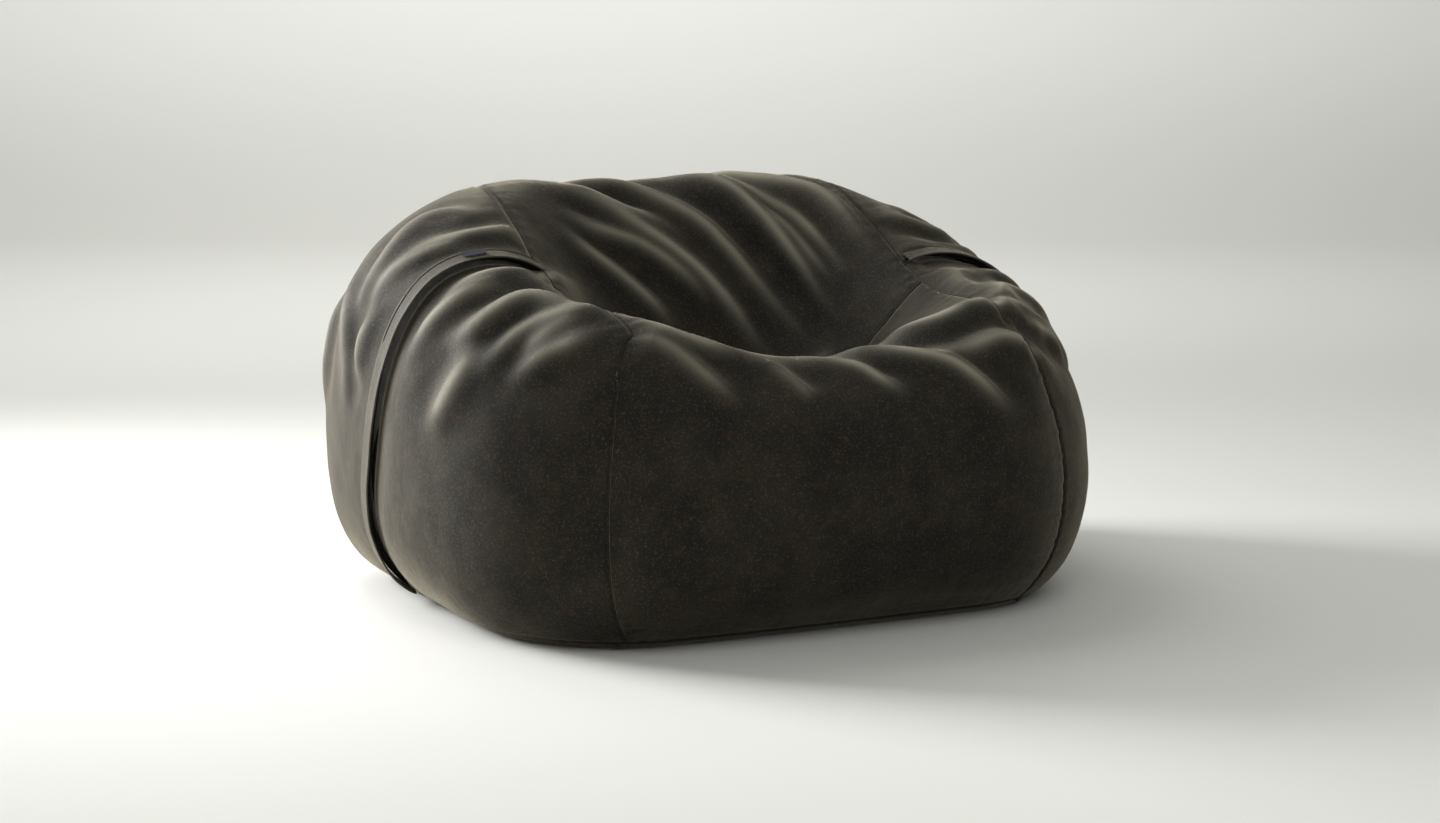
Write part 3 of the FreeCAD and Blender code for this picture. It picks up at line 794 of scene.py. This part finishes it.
def stitches(name, line, normals, length, space, width):
    """A row of short capsule-shaped stitches along a line."""
    row = bmesh.new()
    place = walk(line)
    total = place[-1]
    count = int(total // (length + space))
    for k in range(count):
        at = (k + 0.5) * total / count
        spot = Vector([np.interp(at, place, line[:, a]) for a in range(3)])
        ahead = Vector([np.interp(at + length / 2, place, line[:, a]) for a in range(3)])
        out = Vector([np.interp(at, place, normals[:, a]) for a in range(3)]).normalized()
        along = (ahead - spot).normalized()
        side = out.cross(along).normalized()
        turn = Matrix((along, side, along.cross(side))).transposed().to_4x4()
        size = Matrix.Diagonal((length / 2, width / 2, width / 2, 1))
        bmesh.ops.create_uvsphere(
            row, u_segments=5, v_segments=4, radius=1,
            matrix=Matrix.Translation(spot) @ turn @ size @ Matrix.Rotation(math.pi / 2, 4, "Y"),
        )
    return finished(name, row, THREAD.material)


for side in ("left", "right"):
    index = line_points[f"{side}_placket"]
    index = index[(np.abs(co[index, 0]) > SEAM_X + 0.0015) & (co[index, 2] > BASE_Z + 0.001)]
    spine = even(co[index], passes=4)
    out_at = skin_normal[index]
    out_at = even(out_at, passes=4)
    out_at /= np.linalg.norm(out_at, axis=1)[:, None]
    flap = bmesh.new()
    layer = flap.verts.layers.float.new("crest_highlight")
    bmesh.ops.create_grid(flap, x_segments=len(spine) - 1, y_segments=FLAP_ROWS, size=0.5)
    widths = np.linspace(FLAP_FRONT, FLAP_BACK, FLAP_ROWS + 1)
    place = walk(spine)
    shapes = np.zeros((len(spine), FLAP_ROWS + 1, 3))
    for row, across in enumerate(widths):
        at = spine + across * np.array(PLACKET_NORMAL)
        at = on_skin(tree, at)
        share = (across - FLAP_FRONT) / (FLAP_BACK - FLAP_FRONT)
        rise = FLAP_RISE + FLAP_FRONT_RISE * (1 - share) ** 2 - FLAP_BACK_DROP * smooth((share - 0.75) / 0.25)
        wave = np.array([noise.noise(Vector(p) * 16) for p in at]) * FLAP_WAVE * (1 - share)
        shapes[:, row] = at + out_at * (rise + wave)[:, None]
    for v in flap.verts:
        i = round((v.co.x + 0.5) * (len(spine) - 1))
        row = round((v.co.y + 0.5) * FLAP_ROWS)
        v.co = Vector(shapes[i, row])
        # Painted highlight: the flap's face is lightened a little all over, and most along its free front
        # edge.
        v[layer] = 0.34 + 0.26 * math.exp(-row / 1.5)
    bmesh.ops.recalc_face_normals(flap, faces=flap.faces)
    flap.faces.ensure_lookup_table()
    flap.normal_update()
    middle = flap.faces[len(flap.faces) // 2]
    if middle.normal.dot(outward(np.array(middle.calc_center_median()))) < 0:
        bmesh.ops.reverse_faces(flap, faces=flap.faces)
    strap = finished(f"{side}_zip_flap_strip", flap, VELVET)
    wall = strap.modifiers.new("cloth", "SOLIDIFY")
    wall.thickness = FLAP_THICKNESS
    wall.offset = -1
    edge = strap.modifiers.new("folded_edge", "BEVEL")
    edge.width = FLAP_THICKNESS * 0.42
    edge.segments = 3
    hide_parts(f"{side}_zip_flap")
    rows = []
    for number, across in STITCH_ROWS:
        row = np.interp(across, widths, np.arange(FLAP_ROWS + 1))
        base, part = int(row), row - int(row)
        line = shapes[:, base] * (1 - part) + shapes[:, base + 1] * part + out_at * 0.00012
        seam = stitches(
            f"{side}_flap_stitches_{number}", line, out_at, STITCH_LENGTH, STITCH_GAP, STITCH_WIDTH,
        )
        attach(seam, "chair")
        rows.append(seam)

# ---------------------------------------------------------------------------------------------
# Woven label. A small navy tab woven in satin, its rear edge sewn to the left flap, its front edge
# free to lift. It carries no mark.
LABEL_THICKNESS = 0.0008
LABEL_LENGTH, LABEL_WIDTH = 0.0375, 0.0205
LABEL_CURL, LABEL_BOW, LABEL_LIFT = 0.0009, 0.0006, 0.0004
flip = next(j for j in frame["joints"] if j["name"] == "label_flip")
hinge = Vector(flip["pos_m"])
label_axis = Vector(flip["axis"]).normalized()
corners = [v.co for v in frame["nodes"]["label"].data.vertices]
label_centre = sum(corners, Vector()) / len(corners)
forward = label_centre - hinge
forward = (forward - label_axis * forward.dot(label_axis)).normalized()
label_up = forward.cross(label_axis).normalized()
if label_up.z < 0:
    label_up = -label_up
tab = bmesh.new()
bmesh.ops.create_grid(tab, x_segments=24, y_segments=16, size=0.5)
for v in tab.verts:
    along, ahead = v.co.x * LABEL_LENGTH, (v.co.y + 0.5) * LABEL_WIDTH
    curl = LABEL_CURL * (ahead / LABEL_WIDTH) ** 2 - LABEL_BOW * (2 * v.co.x) ** 2
    v.co = hinge + label_axis * along + forward * ahead + label_up * (curl + LABEL_LIFT)
bmesh.ops.recalc_face_normals(tab, faces=tab.faces)
if sum((f.normal for f in tab.faces), Vector()).dot(label_up) < 0:
    bmesh.ops.reverse_faces(tab, faces=tab.faces)
satin = Finish("woven_label", (0.012, 0.017, 0.030), Roughness=0.7, Specular_IOR_Level=0.2)
thread_lines = satin.node(
    "ShaderNodeTexWave", {"wave_type": "BANDS", "bands_direction": "Y"},
    {"Scale": 420.0, "Distortion": 0.6}, "Fac",
)
cross_lines = satin.node(
    "ShaderNodeTexWave", {"wave_type": "BANDS", "bands_direction": "X"},
    {"Scale": 520.0, "Distortion": 0.4}, "Fac",
)
satin_colour = satin.mix(thread_lines, (0.0035, 0.0055, 0.0110), (0.0120, 0.0165, 0.0290))
satin.put(satin.surface["Base Color"], satin_colour)
satin.put(satin.surface["Normal"], satin.bump(thread_lines + cross_lines, 0.00025))
label = finished("woven_label_tab", tab, satin.material, "woven_label")
wall = label.modifiers.new("cloth", "SOLIDIFY")
wall.thickness = LABEL_THICKNESS
edge = label.modifiers.new("folded_edge", "BEVEL")
edge.width = 0.0003
edge.segments = 2
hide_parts("label")

# ---------------------------------------------------------------------------------------------
# Zips. Each is a nylon coil zip sewn into its slot: two woven tapes, a coil of hooked turns along
# each, and a slider without a pull, so that it is not opened by chance. Stops close both ends.
COIL_GAP = 0.0014
COIL_WIDTH = 0.0024
COIL_HEIGHT = 0.0018
COIL_WIRE = 0.0006
COIL_PITCH = 0.0021
TURN_STEPS = 7
WIRE_SIDES = 5
TAPE_THICKNESS = 0.0008
TAPE_EDGE = 0.0148
tape_cloth = Finish("zip_tape", (0.010, 0.009, 0.008), Roughness=0.85, Specular_IOR_Level=0.2)
twill = tape_cloth.node(
    "ShaderNodeTexWave", {"wave_type": "BANDS", "bands_direction": "DIAGONAL"},
    {"Scale": 330.0, "Distortion": 1.0}, "Fac",
)
tape_colour = tape_cloth.mix(twill, (0.007, 0.0065, 0.006), (0.022, 0.020, 0.018))
tape_cloth.put(tape_cloth.surface["Base Color"], tape_colour)
tape_cloth.put(tape_cloth.surface["Normal"], tape_cloth.bump(twill, 0.0002))
nylon = Finish("zip_coil", (0.012, 0.011, 0.010), Roughness=0.32)
wear = nylon.noise(240.0)
nylon.put(nylon.surface["Roughness"], 0.26 + wear * 0.2)
nylon.put(nylon.surface["Base Color"], nylon.mix(wear, (0.010, 0.009, 0.008), (0.026, 0.024, 0.021)))
metal = Finish("zip_metal", (0.16, 0.15, 0.14), Metallic=1.0, Roughness=0.35)
scuffs = metal.noise(160.0, 5.0, 0.7)
metal.put(metal.surface["Roughness"], 0.24 + scuffs * 0.3)
metal.put(metal.surface["Base Color"], metal.mix(scuffs, (0.10, 0.095, 0.09), (0.30, 0.28, 0.25)))
metal.put(metal.surface["Normal"], metal.bump(scuffs, 0.00008))
back = np.array(PLACKET_NORMAL)
up = np.array(Vector((0, -PLACKET_LEAN, 1)).normalized())
for side, sign in (("left", -1), ("right", 1)):
    out = np.array([sign, 0.0, 0.0])
    pivot = np.array(next(j["pos_m"] for j in frame["joints"] if j["name"] == f"{side}_zip_travel"))
    arm = np.array([v.co for v in frame["nodes"][f"{side}_zip_front_tape"].data.vertices]) - pivot
    turn = np.arctan2(arm @ up, arm @ out)
    radius = np.hypot(arm @ up, arm @ out).max()
    first, last = turn.min(), turn.max()
    for place, hand in (("front", -1), ("rear", 1)):
        tape = bmesh.new()
        bmesh.ops.create_grid(tape, x_segments=150, y_segments=8, size=0.5)
        for v in tape.verts:
            angle = first + (v.co.x + 0.5) * (last - first)
            across = COIL_GAP / 2 + (v.co.y + 0.5) * (TAPE_EDGE - COIL_GAP / 2)
            reach = radius - 0.0005 * smooth((across - 0.008) / 0.006)
            on_arc = pivot + out * reach * math.cos(angle) + up * reach * math.sin(angle)
            v.co = Vector(on_arc + back * hand * across)
        bmesh.ops.recalc_face_normals(tape, faces=tape.faces)
        tape.faces.ensure_lookup_table()
        if tape.faces[0].normal.dot(Vector(tape.faces[0].calc_center_median()) - Vector(pivot)) < 0:
            bmesh.ops.reverse_faces(tape, faces=tape.faces)
        band = finished(f"{side}_zip_{place}_tape_band", tape, tape_cloth.material)
        wall = band.modifiers.new("cloth", "SOLIDIFY")
        wall.thickness = TAPE_THICKNESS
        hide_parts(f"{side}_zip_{place}_tape")
        turns = int(radius * (last - first) / COIL_PITCH)
        step = np.arange(turns * TURN_STEPS + 1)
        angle = first + (last - first) * step / step[-1]
        roll = 2 * np.pi * step / TURN_STEPS + (math.pi if hand > 0 else 0)
        middle = COIL_GAP / 2 + COIL_WIDTH / 2
        aside = hand * (middle + (COIL_WIDTH - COIL_WIRE) / 2 * np.cos(roll))
        rise = COIL_HEIGHT / 2 + (COIL_HEIGHT - COIL_WIRE) / 2 * np.sin(roll)
        spoke = np.cos(angle)[:, None] * out + np.sin(angle)[:, None] * up
        helix = pivot + spoke * (radius + rise)[:, None] + aside[:, None] * back
        facing = np.cos(roll)[:, None] * hand * back + np.sin(roll)[:, None] * spoke
        around = np.arange(WIRE_SIDES) / WIRE_SIDES * 2 * np.pi
        wire = [(COIL_WIRE / 2 * math.cos(t), COIL_WIRE / 2 * math.sin(t)) for t in around]
        coil = finished(f"{side}_zip_{place}_coil_turns", swept(helix, facing, wire, False), nylon.material)
        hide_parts(f"{side}_zip_{place}_coil")
    for part in (f"{side}_zip_stops", f"{side}_zip_slider", f"{side}_slider_crown"):
        for spot in frame["nodes"][part].material_slots:
            spot.link = "OBJECT"
            spot.material = metal.material

# ---------------------------------------------------------------------------------------------
# Studio: a seamless pale sweep, soft light from above and behind, and the camera.
bpy.context.scene.view_settings.view_transform = "Standard"
AZIMUTH, ELEVATION, DISTANCE = math.radians(-26), math.radians(8.5), 4.32
FLOOR_REACH, SWEEP_RADIUS, WALL_HEIGHT, SWEEP_WIDTH = 7.0, 3.0, 5.0, 70.0
FLOOR_FRONT = 30.0
sweep = bmesh.new()
bmesh.ops.create_grid(sweep, x_segments=1, y_segments=1, size=FLOOR_REACH)
bmesh.ops.scale(sweep, verts=sweep.verts, vec=(SWEEP_WIDTH / 2 / FLOOR_REACH, 1, 1))
for v in sweep.verts:
    if v.co.y < 0:
        v.co.y = -FLOOR_FRONT
far_edge = [e for e in sweep.edges if all(v.co.y > 0 for v in e.verts)]
bmesh.ops.spin(
    sweep, geom=far_edge, cent=(0, FLOOR_REACH, SWEEP_RADIUS), axis=(1, 0, 0),
    angle=math.radians(90), steps=16,
)
top = max(v.co.z for v in sweep.verts)
wall_edge = [e for e in sweep.edges if all(v.co.z > top - 1e-4 for v in e.verts)]
made = bmesh.ops.extrude_edge_only(sweep, edges=wall_edge)["geom"]
raised = [v for v in made if isinstance(v, bmesh.types.BMVert)]
bmesh.ops.translate(sweep, verts=raised, vec=(0, 0, WALL_HEIGHT))
bmesh.ops.rotate(sweep, verts=sweep.verts, matrix=Matrix.Rotation(AZIMUTH, 3, "Z"))
FLOOR_TONE, WALL_TONE = (0.655, 0.653, 0.622), (0.855, 0.853, 0.817)
paper = Finish("studio_paper", WALL_TONE, Roughness=0.6, Specular_IOR_Level=0.15)
height = paper.node("ShaderNodeSeparateXYZ", {}, {"Vector": paper.where()}, "Z")
paper.put(paper.surface["Base Color"], paper.mix(paper.ramp(height, 0.0, 1.2), FLOOR_TONE, WALL_TONE))
mesh = bpy.data.meshes.new("studio_floor")
sweep.to_mesh(mesh)
mesh.shade_smooth()
floor = bpy.data.objects.new("studio_floor", mesh)
bpy.context.scene.collection.objects.link(floor)
mesh.materials.append(paper.material)
world = bpy.data.worlds.new("studio")
bpy.context.scene.world = world
world.use_nodes = True
sky = world.node_tree.nodes["Background"].inputs
sky["Color"].default_value = (0.92, 0.925, 0.90, 1)
sky["Strength"].default_value = 0.44
# Each light's name, place, aim, size in metres, power in watts and spread in degrees.
LIGHTS = (
    ("overhead", (-0.8, 2.2, 3.6), (0, 0.2, 0.3), 2.8, 78, 180),
    ("left_softbox", (-2.5, 2.6, 1.6), (-0.45, 0.30, 0.50), 1.6, 62, 70),
    ("wall_wash", (1.0, 4.0, 5.0), (3.4, 9.0, 1.5), 4.0, 255, 180),
    ("front_floor", (-1.0, -4.0, 5.0), (-1.2, -1.5, 0), 4.0, 70, 180),
)
for name, spot, goal, size, power, spread in LIGHTS:
    light = bpy.data.lights.new(name, "AREA")
    light.size = size
    light.energy = power
    light.spread = math.radians(spread)
    lamp = bpy.data.objects.new(name, light)
    lamp.location = spot
    lamp.rotation_euler = (Vector(goal) - Vector(spot)).to_track_quat("-Z", "Y").to_euler()
    bpy.context.scene.collection.objects.link(lamp)
TARGET = Vector((-0.019, 0.047, 0.288))
camera = bpy.data.objects.new("camera", bpy.data.cameras.new("camera"))
camera.data.lens = 63.5
camera.data.sensor_width = 36
camera.data.shift_x = 0.0150
level = math.cos(ELEVATION)
toward = Vector((math.sin(AZIMUTH) * level, -math.cos(AZIMUTH) * level, math.sin(ELEVATION)))
camera.location = TARGET + toward * DISTANCE
camera.rotation_euler = (-toward).to_track_quat("-Z", "Y").to_euler()
bpy.context.scene.collection.objects.link(camera)
bpy.context.scene.camera = camera
